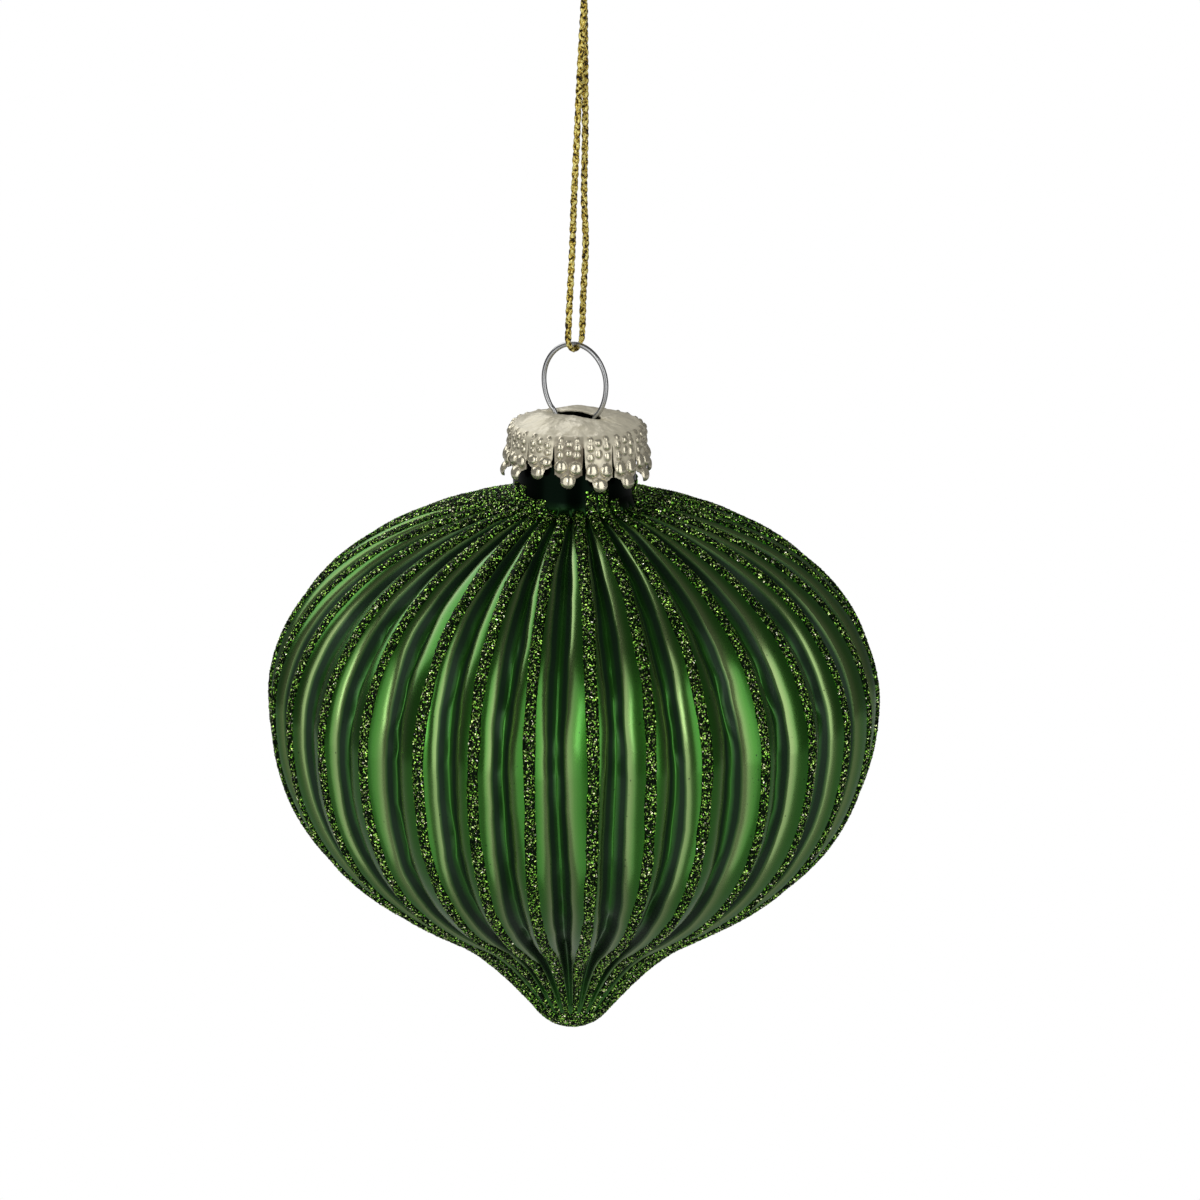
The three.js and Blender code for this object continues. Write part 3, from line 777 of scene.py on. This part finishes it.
class Ribs:
    """Where the crests, the edges of the lobes and the valleys of the ribs lie on each row of the glass."""

    def __init__(self, rows):
        self.rows = rows
        self.radius = rows[:, 0]
        self.along = way_along(rows[:, :2])
        fade = np.clip((self.radius - RIB_FADE_START) / RIB_FADE_LENGTH, 0, 1)
        on_neck = (rows[:, 1] > root_z - 0.02 * MM) & (self.radius < NECK_RADIUS + ROOT_FILLET)
        fade[on_neck] = 0
        self.fade = fade
        pitch = self.radius * rib_pitch
        self.valley = np.minimum(VALLEY_HALF_WIDTH, VALLEY_MOST * pitch) / self.radius
        self.crown = LOBE_CROWN * (pitch / 2 - self.valley * self.radius) * np.minimum(1, 2 * fade)
        self.crests, self.lefts, self.rights, self.depths = [], [], [], []
        self.dimples = [self.stray(rib, *DIMPLES) for rib in range(RIBS)]
        for rib in range(RIBS):
            drift = self.stray(rib, *CREST_SWAY) + self.stray(rib, *CREST_SHAKE)
            crest = np.radians(RIB_START + RIB_DRIFT[rib] * fade) + rib * rib_pitch
            self.crests.append(crest + drift * fade / self.radius)
            self.depths.append(RIB_DEPTH * fade * (1 + self.stray(rib, *DEPTH_SWAY)))
        for rib in range(RIBS):
            ahead = self.crests[(rib + 1) % RIBS] + (2 * pi if rib == RIBS - 1 else 0)
            shift = radians(VALLEY_OFFSET) + self.stray(rib, *MIDDLE_SWAY)
            middle = (self.crests[rib] + ahead) / 2 + shift * fade
            for seed, edges, way in zip(EDGE_SEEDS, (self.rights, self.lefts), (-1, 1)):
                wander = self.stray(rib + seed, *EDGE_SWAY) + self.stray(rib + seed, *EDGE_SHAKE)
                edges.append(middle + way * self.valley * (1 + wander))
        self.middles = [(self.rights[rib] + self.lefts[rib]) / 2 for rib in range(RIBS)]

    def stray(self, rib, seed, wavelength, size):
        """A smooth random offset on each row of a rib, the same every run."""
        across = (rib + seed) * 7.31
        return np.array([size * noise.noise(Vector((across, 3.7, s / wavelength))) for s in self.along])

    def drop_on_lobe(self, share):
        """How far the lobe lies below its crest, at a share of the way from crest to edge."""
        return self.crown * (LOBE_ROOF * share + (1 - LOBE_ROOF) * share**LOBE_ROUND)

    def drop_in_valley(self, rib, share):
        """The same in the valley behind a rib, where share is 1 at the lobe's edge and 0 in the middle."""
        depth = (self.depths[rib] + self.depths[(rib + 1) % RIBS]) / 2
        depth = depth * (1 + (1 - share) * self.dimples[rib])
        return self.crown + np.maximum(0, depth - self.crown) * (1 - share**VALLEY_ROUND)

    def columns(self):
        """The angle of each column and its drop below the crests, for all rows, how much painted shade it has
        in the valleys, and how much painted pale sheen it has towards the lobes' edges."""
        angles, drops, groove_shades, edge_sheens = [], [], [], []
        for rib in range(RIBS):
            ahead = (rib + 1) % RIBS
            crest, middle = self.crests[rib], self.middles[rib]
            right, left = self.rights[rib], self.lefts[rib]
            next_crest = self.crests[ahead] + (2 * pi if ahead == 0 else 0)
            parts = [
                (crest, right, ON_LOBE, False),
                (middle, right, IN_VALLEY, True),
                (middle, left, [0, *IN_VALLEY[::-1]], True),
                (next_crest, left, ON_LOBE[:0:-1], False),
            ]
            for start, end, shares, deep in parts:
                for share in shares:
                    angles.append(start + (end - start) * share)
                    drops.append(self.drop_in_valley(rib, share) if deep else self.drop_on_lobe(share))
            bare = [0] * (len(ON_LOBE) - 1)
            groove_shades += [0, *bare, *VALLEY_SHADE, 0, *VALLEY_SHADE[::-1], *bare]
            inside = [0] * (2 * len(IN_VALLEY) - 1)
            edge_sheens += [*LOBE_SHEEN, EDGE_SHEEN, *inside, EDGE_SHEEN, *LOBE_SHEEN[:0:-1]]
        return np.array(angles).T, np.array(drops).T, *np.array([groove_shades, edge_sheens], np.float32)

    def at(self, row, angle, drop, lift):
        """A point over the glass, lifted off it along the outline's normal."""
        radius, height, out, up = self.rows[row]
        reach = radius + out * (lift - drop)
        return (reach * cos(angle), reach * sin(angle), height + up * (lift - drop))


def glass_drop(ribs, material):
    angles, drops, groove_shades, edge_sheens = ribs.columns()
    rows = ribs.rows
    columns = angles.shape[1]
    outer = list(range(len(rows)))
    inner = [0, *range(INSIDE_FIRST_ROW, len(rows), INSIDE_ROW_STEP)]
    points, groove_shade, neck, edge_sheen = [], [], [], []
    for kept, lift in ((inner[::-1], -GLASS_WALL), (outer, 0.0)):
        for row in kept:
            radius, height, out, up = rows[row]
            raised = lift - drops[row]
            reach = radius + out * raised
            ring = [reach * np.cos(angles[row]), reach * np.sin(angles[row]), height + up * raised]
            points.extend(np.stack(ring, axis=1))
            # The painted valley shade fades in with the ribs
            groove_shade.append(groove_shades * min(1, 2 * ribs.fade[row]))
            # The painted pale sheen fades in with the ribs
            edge_sheen.append(edge_sheens * ribs.fade[row])
            above = float(height > equator_z) * max(0.0, 1 - max(0.0, radius - NECK_RADIUS) / NECK_FADE)
            neck.append(np.full(columns, above, np.float32))
    pole_z = equator_z - NOSE_DROP - NOSE_BALL * (1 - cos(radians(NOSE_SLOPE)))
    points += [(0, 0, pole_z + GLASS_WALL), (0, 0, pole_z)]
    rings = len(inner) + len(outer)
    faces = closed(ring_faces(rings, columns), rings * columns, columns)
    glass = finished_piece("glass_drop", points, faces, material)
    for name, values in {"groove_shade": groove_shade, "neck": neck, "edge_sheen": edge_sheen}.items():
        keep_at_points(glass, name, [*np.concatenate(values), 0, 0])
    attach(glass, "drop")
    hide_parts("glass_neck", "glass_body")


# Glitter: beads of glue that are strewn with flakes


def glitter_tree(glue, flakes):
    """Geometry nodes that strew flakes over the part of a bead whose strewn attribute says so."""
    tree = bpy.data.node_groups.new("strewn_glitter", "GeometryNodeTree")
    tree.interface.new_socket("Geometry", in_out="INPUT", socket_type="NodeSocketGeometry")
    sizes = {
        "Flakes Per Square Metre": ("NodeSocketFloat", FLAKES_PER_SQUARE_MM / MM**2),
        "Flake Radius": ("NodeSocketFloat", FLAKE_RADIUS),
        "Tilt": ("NodeSocketFloat", radians(FLAKE_TILT)),
        "Seed": ("NodeSocketInt", 1),
    }
    for name, (kind, value) in sizes.items():
        tree.interface.new_socket(name, in_out="INPUT", socket_type=kind).default_value = value
    tree.interface.new_socket("Geometry", in_out="OUTPUT", socket_type="NodeSocketGeometry")
    nodes = Nodes(tree)
    group = tree.nodes.new("NodeGroupInput")
    given = {socket.name: Signal(nodes, socket) for socket in group.outputs if socket.name}
    bead, seed = given["Geometry"], given["Seed"]
    strewn = nodes.add("GeometryNodeInputNamedAttribute", inputs={"Name": "strewn"}, output="Attribute")
    density = given["Flakes Per Square Metre"] * strewn
    inputs = {"Mesh": bead, "Density": density, "Seed": seed}
    scatter = nodes.add("GeometryNodeDistributePointsOnFaces", inputs=inputs)
    on_bead = Signal(nodes, scatter.socket.node.outputs["Rotation"])
    lean = nodes.add(
        "FunctionNodeRandomValue",
        {"data_type": "FLOAT_VECTOR"},
        {0: (-1, -1, -pi), 1: (1, 1, pi), "Seed": seed},
    )
    most = nodes.add("ShaderNodeCombineXYZ", inputs={"X": given["Tilt"], "Y": given["Tilt"], "Z": 1.0})
    lean = nodes.add("ShaderNodeVectorMath", {"operation": "MULTIPLY"}, {0: lean, 1: most})
    lean = nodes.add("FunctionNodeEulerToRotation", inputs={"Euler": lean})
    rotation = nodes.add(
        "FunctionNodeRotateRotation",
        {"rotation_space": "LOCAL"},
        {"Rotation": on_bead, "Rotate By": lean},
    )
    flake = nodes.add(
        "GeometryNodeMeshCircle",
        {"fill_type": "NGON"},
        {"Vertices": FLAKE_CORNERS, "Radius": given["Flake Radius"]},
    )

    def each_flake(low, high, seed_step):
        """A random number for each flake."""
        inputs = {2: low, 3: high, "Seed": seed + seed_step}
        return nodes.add("FunctionNodeRandomValue", inputs=inputs, output=1)

    scale = each_flake(*FLAKE_SCALES, 1)
    tint = each_flake(0.0, 1.0, 2)
    placed = nodes.add(
        "GeometryNodeInstanceOnPoints",
        inputs={"Points": scatter, "Instance": flake, "Rotation": rotation, "Scale": scale},
    )
    tinted = nodes.add(
        "GeometryNodeStoreNamedAttribute",
        {"domain": "INSTANCE"},
        {"Geometry": placed, "Name": "tint", "Value": tint},
    )
    realized = nodes.add("GeometryNodeRealizeInstances", inputs={"Geometry": tinted})
    strewn_flakes = nodes.add("GeometryNodeSetMaterial", inputs={"Geometry": realized, "Material": flakes})
    bead = nodes.add("GeometryNodeSetMaterial", inputs={"Geometry": bead, "Material": glue})
    both = tree.nodes.new("GeometryNodeJoinGeometry")
    tree.links.new(bead.socket, both.inputs[0])
    tree.links.new(strewn_flakes.socket, both.inputs[0])
    end = tree.nodes.new("NodeGroupOutput")
    tree.links.new(both.outputs[0], end.inputs[0])
    return tree


def strew(bead, tree, seed):
    """Replaces a bead's mesh by the bead with its flakes."""
    modifier = bead.modifiers.new("glitter", "NODES")
    modifier.node_group = tree
    modifier[tree.interface.items_tree["Seed"].identifier] = seed
    apply_modifiers(bead)


def uneven(kind, seed, level, along):
    """A smooth random offset, the same every run. Its kind is its size and its wavelength."""
    size, wavelength = kind
    return size * noise.noise(Vector((seed, level, along / wavelength)))


def bead_half_width(ribs, row, rib):
    """Half the width of a glitter line: wide at the neck, drawn in where the ribs draw together."""
    along = ribs.along[row]
    down = np.clip((along - ribs.along[SHOULDER_ROW]) / BAND_NARROWING, 0, 1)
    width = BAND_TOP_WIDTH + (BAND_WIDTH - BAND_TOP_WIDTH) * down
    width *= 1 + uneven(BAND_RAGGED, rib * 3.3, 9.1, along)
    most = BAND_MOST_ABOVE if row <= SHOULDER_ROW else BAND_MOST
    return min(width, most * ribs.radius[row] * rib_pitch) / 2


def glitter_line(ribs, rib, tree, glue):
    """One glitter line along the crest of a rib, from the neck to the start of the nose."""
    rows = range(FIRST_ROWS[rib], len(ribs.rows) - NOSE_ROWS + 1)
    points = []
    for row in rows:
        along = ribs.along[row]
        half = bead_half_width(ribs, row, rib)
        wander = uneven(BAND_WANDER, rib * 5.7, 1.3, along)
        crest, right = ribs.crests[rib][row], ribs.rights[rib][row]
        left = ribs.lefts[rib - 1][row] - (2 * pi if rib == 0 else 0)
        for share in BAND_PROFILE:
            angle = crest + (wander * ribs.fade[row] + share * half) / ribs.radius[row]
            edge = right if angle > crest else left
            drop = ribs.drop_on_lobe(min(1.0, (angle - crest) / (edge - crest)))[row]
            rough = uneven(BAND_ROUGH, rib + share, 2.2, along)
            lift = BAND_HEIGHT * (sqrt(max(0.0, 1 - share**2)) + rough * (abs(share) < 1)) - BAND_SINK
            points.append(ribs.at(row, angle, drop, lift))
        points.append(ribs.at(row, crest, 0, -BAND_ROOT))
    corners = len(BAND_PROFILE) + 1
    count = len(points)
    faces = ring_faces(len(rows), corners)
    ends = [list(range(corners)), list(range(count - corners, count))[::-1]]
    bead = finished_piece(f"glitter_line_{rib + 1:02d}", points, faces + ends, glue)
    keep_at_points(bead, "strewn", [i % corners != corners - 1 for i in range(count)])
    strew(bead, tree, LINE_SEED + rib)
    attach(bead, "drop")
    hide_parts(f"glitter_band_{rib + 1:02d}")


def tip_crust(ribs, tree, glue):
    """The glitter that covers the nose."""
    top = equator_z - NOSE_DROP + TIP_RISE
    rows = [row for row in range(len(ribs.rows)) if ribs.rows[row][1] < top]
    points = []
    for kept, lift in ((rows[::-1], -TIP_HEIGHT), (rows, TIP_HEIGHT)):
        for row in kept:
            edge = 0.0 if row == rows[0] and lift > 0 else 1.0
            for column in range(TIP_COLUMNS):
                angle = 2 * pi * column / TIP_COLUMNS
                rough = (lift > 0) * uneven(TIP_ROUGH, 6 * cos(angle), 6 * sin(angle), ribs.along[row])
                points.append(ribs.at(row, angle, 0, lift * edge + rough))
    under = len(rows) * TIP_COLUMNS
    low = ribs.rows[rows[-1]][1]
    points += [(0, 0, low + lift) for lift in TIP_POLES]
    faces = closed(ring_faces(2 * len(rows), TIP_COLUMNS), 2 * under, TIP_COLUMNS)
    crust = finished_piece("glitter_tip_crust", points, faces, glue)
    strewn = np.ones(len(points), np.float32)
    strewn[:under] = 0
    strewn[2 * under] = 0
    keep_at_points(crust, "strewn", strewn)
    strew(crust, tree, TIP_SEED)
    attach(crust, "drop")
    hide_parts("glitter_tip")


# Crown cap


def petal_end(across):
    """How far below the cap's top a petal ends, a given way across from its middle."""
    ends = [PETAL_LENGTH]
    for middle, drop, reach in TONGUES:
        aside = abs(across - middle * MM)
        if aside < reach * MM:
            ends.append(drop * MM + sqrt((reach * MM) ** 2 - aside**2))
    return max(ends)


def boss_at(across, down, petal):
    """How far a pressed boss stands out of the metal at a place on a petal, how much the place is
    part of a boss, and how much painted shade it gets round one, darker below it."""
    height = boss = painted_shade = 0.0
    for number, (middle, level, radius) in enumerate(BOSSES):
        shift = BOSS_STRAY * noise.noise(Vector((petal * 3.1, number * 2.3, 0.7)))
        aside, below = across - (middle + shift) * MM, down - (level + shift) * MM
        away = sqrt(aside**2 + below**2) / radius
        if away < 1:
            rise = BOSS_RISE if radius < BIG_BOSS else BIG_BOSS_RISE
            height = rise * radius * sqrt(1 - away**2)
            boss = 1.0
        else:
            # Painted shade round the boss, darker on its lower side as a shadow would be
            depth = SHADE_STRENGTH + SHADE_BELOW * below / (away * radius)
            painted_shade = max(painted_shade, (1 - (away - 1) / SHADE_REACH) * depth)
    return height, boss, 0.0 if boss else painted_shade


def crumple(point, size):
    """Random dents of foil at a point."""
    place = point / CRUMPLE_LENGTH
    return size * (noise.noise(place) + 0.5 * noise.noise(place * 2.3) + 0.25 * noise.noise(place * 5.1))


def cap_point(petal, share, level):
    """A point of the cap's outside, and how much it is boss, painted shade and skirt. Share is the way across
    the petal, from -1 to 1, and level is the way from the slot to the petal's end."""
    half_pitch = pi / PETALS
    middle = radians(PETAL_START) + (2 * petal + 1) * half_pitch
    angle = middle + share * half_pitch
    rim = CAP_RADIUS - CAP_EDGE_RADIUS
    rim_drop = CAP_DOME - CAP_TOP_RISE
    skirt_start = rim_drop + CAP_EDGE_RADIUS
    flare, stretch, down = 0.0, 0.0, -1.0
    if level <= 1:
        slot = 1 / sqrt((cos(angle) / SLOT_HALF_LENGTH) ** 2 + (sin(angle) / SLOT_HALF_WIDTH) ** 2)
        radius = slot + (rim - slot) * level
        drop = CAP_DOME * (radius / rim) ** 2 - CAP_TOP_RISE
        outward = UP
    elif level <= EDGE_END:
        turn = (level - 1) / EDGE_SPAN * pi / 2
        radius = rim + CAP_EDGE_RADIUS * sin(turn)
        drop = rim_drop + CAP_EDGE_RADIUS * (1 - cos(turn))
        down = turn * CAP_EDGE_RADIUS
        outward = Vector((cos(angle) * sin(turn), sin(angle) * sin(turn), cos(turn)))
    else:
        if level <= 2:
            drop = skirt_start + (SLIT_START - skirt_start) * (level - EDGE_END) / (1 - EDGE_SPAN)
        else:
            longer = PETAL_STRETCH[petal] * MM
            end = petal_end(CAP_RADIUS * half_pitch * share)
            drop = SLIT_START + (end + longer - SLIT_START) * (level - 2)
            stretch = longer * min(1.0, (drop - SLIT_START) / STRETCH_REACH)
            opening = SLIT_HALF_WIDTH * min(1.0, SLIT_TOP + (drop - SLIT_START) / SLIT_REACH)
            opening *= 1 + PETAL_UNEVENNESS * noise.noise(Vector((petal * 2.9, 5.3, 1.1)))
            angle = middle + share * (half_pitch - opening / CAP_RADIUS)
            flare = SKIRT_FLARE * (1 + PETAL_UNEVENNESS * noise.noise(Vector((petal * 4.7, 0.3, 0.8))))
        down = CAP_EDGE_RADIUS * pi / 2 + drop - skirt_start - stretch
        below_slits = max(0.0, drop - SLIT_START) / (CAP_HEIGHT - SLIT_START)
        radius = CAP_RADIUS + flare * below_slits**FLARE_POWER
        outward = Vector((cos(angle), sin(angle), -0.08))
    height = boss = painted_shade = 0.0
    if down >= 0:
        height, boss, painted_shade = boss_at((angle - middle) * CAP_RADIUS, down, petal)
    # Painted reflection: one petal is darkened as though it mirrored the dark
    if petal == DARK_REFLECTION_PETAL and down > 0:
        painted_shade = max(painted_shade, (1 - boss) * min(1.0, down / DARK_REFLECTION_REACH) * (0.85 + 0.15 * share))
    point = Vector((radius * cos(angle), radius * sin(angle), CAP_TOP_Z - drop))
    dent = crumple(point, TOP_CRUMPLE if level <= 1 else CRUMPLE)
    if level <= 1:
        if sin(angle) < 0:
            dent -= SLOT_DIP * (1 - level) ** 3
        swelling = noise.noise(point / TOP_SWELL_LENGTH + Vector((2, 5, 0)))
        dent += TOP_SWELL * level * (1 - level) * 4 * max(0.0, swelling)
    point += outward * (dent + height) + camera_right * CAP_OFF_CENTRE
    return point, boss, painted_shade, min(1.0, max(0.0, down / CAP_EDGE_RADIUS))


def crown_cap(material):
    levels = [0.0]
    for first, last, count in CAP_ROWS:
        levels += list(np.linspace(first, last, count)[1:])
    made, faces = [], []
    for petal in range(PETALS):
        start = len(made)
        for level in levels:
            made += [cap_point(petal, share, level) for share in np.linspace(-1, 1, PETAL_COLUMNS)]
        for row in range(len(levels) - 1):
            for column in range(PETAL_COLUMNS - 1):
                here = start + row * PETAL_COLUMNS + column
                below = here + PETAL_COLUMNS
                faces.append((here, below, below + 1, here + 1))
    points, *kept = zip(*made)
    cap = finished_piece("crown_cap", points, faces, material)
    for name, values in zip(("boss", "painted_shade", "skirt"), kept):
        keep_at_points(cap, name, values)
    weld = cap.modifiers.new("weld", "WELD")
    weld.merge_threshold = WELD_DISTANCE
    wall = cap.modifiers.new("wall", "SOLIDIFY")
    wall.thickness = CAP_METAL
    wall.offset = -1
    apply_modifiers(cap)
    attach(cap, "crown")
    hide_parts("cap")


# Studio

FLOOR_Z = -1.5
FLOOR_HALF_WIDTH = 6
SHADOW_RADIUS = 0.3
ROOM_GREY = 0.3
MIRRORED_GREY = 0.11
MIRRORED_FLOOR = 0.3
# Lamps: bearing from the camera's side towards the picture's right in degrees, distance from the axis,
# width, bottom and top from the widest place of the drop in metres, and radiance
LAMPS = {
    "left_softbox": (-37, 0.62, 0.5, -0.14, 0.68, 0.95),
    "left_key": (-23, 0.6, 0.1, 0.06, 0.46, 2.8),
    "left_fill": (-37, 0.62, 0.5, -1.3, -0.14, 0.6),
    "right_softbox": (35, 0.62, 0.46, -0.14, 0.68, 1.38),
    "right_fill": (34, 0.62, 0.42, -1.3, -0.14, 0.65),
}
# The panel over the shoulder: its place, back and upper side, as add_lamp takes them, its width, height and
# radiance
TOP_PANEL = ((-0.343, -0.409, 0.4), (-0.514, -0.613, 0.6), (0.386, 0.459, 0.8), 0.85, 0.42, 1.5)


def plain_floor():
    edge = FLOOR_HALF_WIDTH
    material = bpy.data.materials.new("plain_floor")
    material.use_nodes = True
    nodes = Nodes(material.node_tree)
    material.node_tree.nodes.clear()
    matt = nodes.add("ShaderNodeBsdfDiffuse", inputs={"Color": colour(0.8, 0.8, 0.8)})
    white = nodes.add("ShaderNodeEmission", inputs={"Color": colour(1, 1, 1), "Strength": 1.0})
    dim = nodes.add("ShaderNodeEmission", inputs={"Color": colour(1, 1, 1), "Strength": MIRRORED_FLOOR})
    away = nodes.add("ShaderNodeVectorMath", {"operation": "LENGTH"}, {0: nodes.place()}, output="Value")
    shade = nodes.steps(away / (SHADOW_RADIUS * 2), [(0.25, [0.65] * 3), (0.5, [1] * 3)])
    look = nodes.add("ShaderNodeMixShader", inputs={0: nodes.ray("Camera") * shade, 1: matt, 2: white})
    look = nodes.add("ShaderNodeMixShader", inputs={0: nodes.ray("Glossy"), 1: look, 2: dim})
    nodes.add("ShaderNodeOutputMaterial", inputs={"Surface": look})
    corners = [(-edge, -edge, 0), (edge, -edge, 0), (edge, edge, 0), (-edge, edge, 0)]
    floor = finished_piece("plain_floor", corners, [(0, 1, 2, 3)], material)
    floor.location.z = FLOOR_Z


def white_room():
    world = bpy.data.worlds.new("white_room")
    world.use_nodes = True
    nodes = Nodes(world.node_tree)
    world.node_tree.nodes.clear()
    seen = nodes.ray("Camera") + nodes.ray("Transmission")
    strength = ROOM_GREY + (1 - ROOM_GREY) * seen + (MIRRORED_GREY - ROOM_GREY) * nodes.ray("Glossy")
    background = nodes.add("ShaderNodeBackground", inputs={"Color": colour(1, 1, 1), "Strength": strength})
    nodes.add("ShaderNodeOutputWorld", inputs={"Surface": background})
    bpy.context.scene.world = world


def add_lamp(name, place, back, up, width, height, radiance):
    """A soft lamp that shines away from its back. Its place from the middle of the drop, its back and its
    upper side are given to the picture's right, towards the camera and up."""
    azimuth = radians(CAMERA_AZIMUTH)
    towards = Vector((sin(azimuth), -cos(azimuth), 0))
    picture = Matrix((camera_right, towards, UP)).transposed()
    back, up = picture @ Vector(back), picture @ Vector(up)
    data = bpy.data.lights.new(name, "AREA")
    data.shape = "RECTANGLE"
    data.size = width
    data.size_y = height
    data.energy = radiance * pi * width * height
    lamp = bpy.data.objects.new(name, data)
    lamp.location = Vector((0, 0, equator_z)) + picture @ Vector(place)
    across = up.cross(back)
    lamp.rotation_mode = "QUATERNION"
    lamp.rotation_quaternion = Matrix((across, up, back)).transposed().to_quaternion()
    lamp.visible_camera = False
    bpy.context.scene.collection.objects.link(lamp)


def studio():
    plain_floor()
    white_room()
    for name, (bearing, distance, width, bottom, top, radiance) in LAMPS.items():
        away = (sin(radians(bearing)), cos(radians(bearing)), 0)
        place = (away[0] * distance, away[1] * distance, (bottom + top) / 2)
        add_lamp(name, place, away, (0, 0, 1), width, top - bottom, radiance)
    add_lamp("top_panel", *TOP_PANEL)
    bpy.context.scene.view_settings.view_transform = "Standard"


# The ornament

place_camera()
gold = gold_thread()
cord, cord_path = hanging_cord(gold)
knot = cord_knot(gold)
wire_eye(steel_wire())
crown_cap(champagne_metal())
ribs = Ribs(glass_outline())
glass_drop(ribs, green_lacquer())
glue = glitter_glue()
strewn_glitter = glitter_tree(glue, glitter_flakes())
for rib in range(RIBS):
    glitter_line(ribs, rib, strewn_glitter, glue)
tip_crust(ribs, strewn_glitter, glue)
studio()
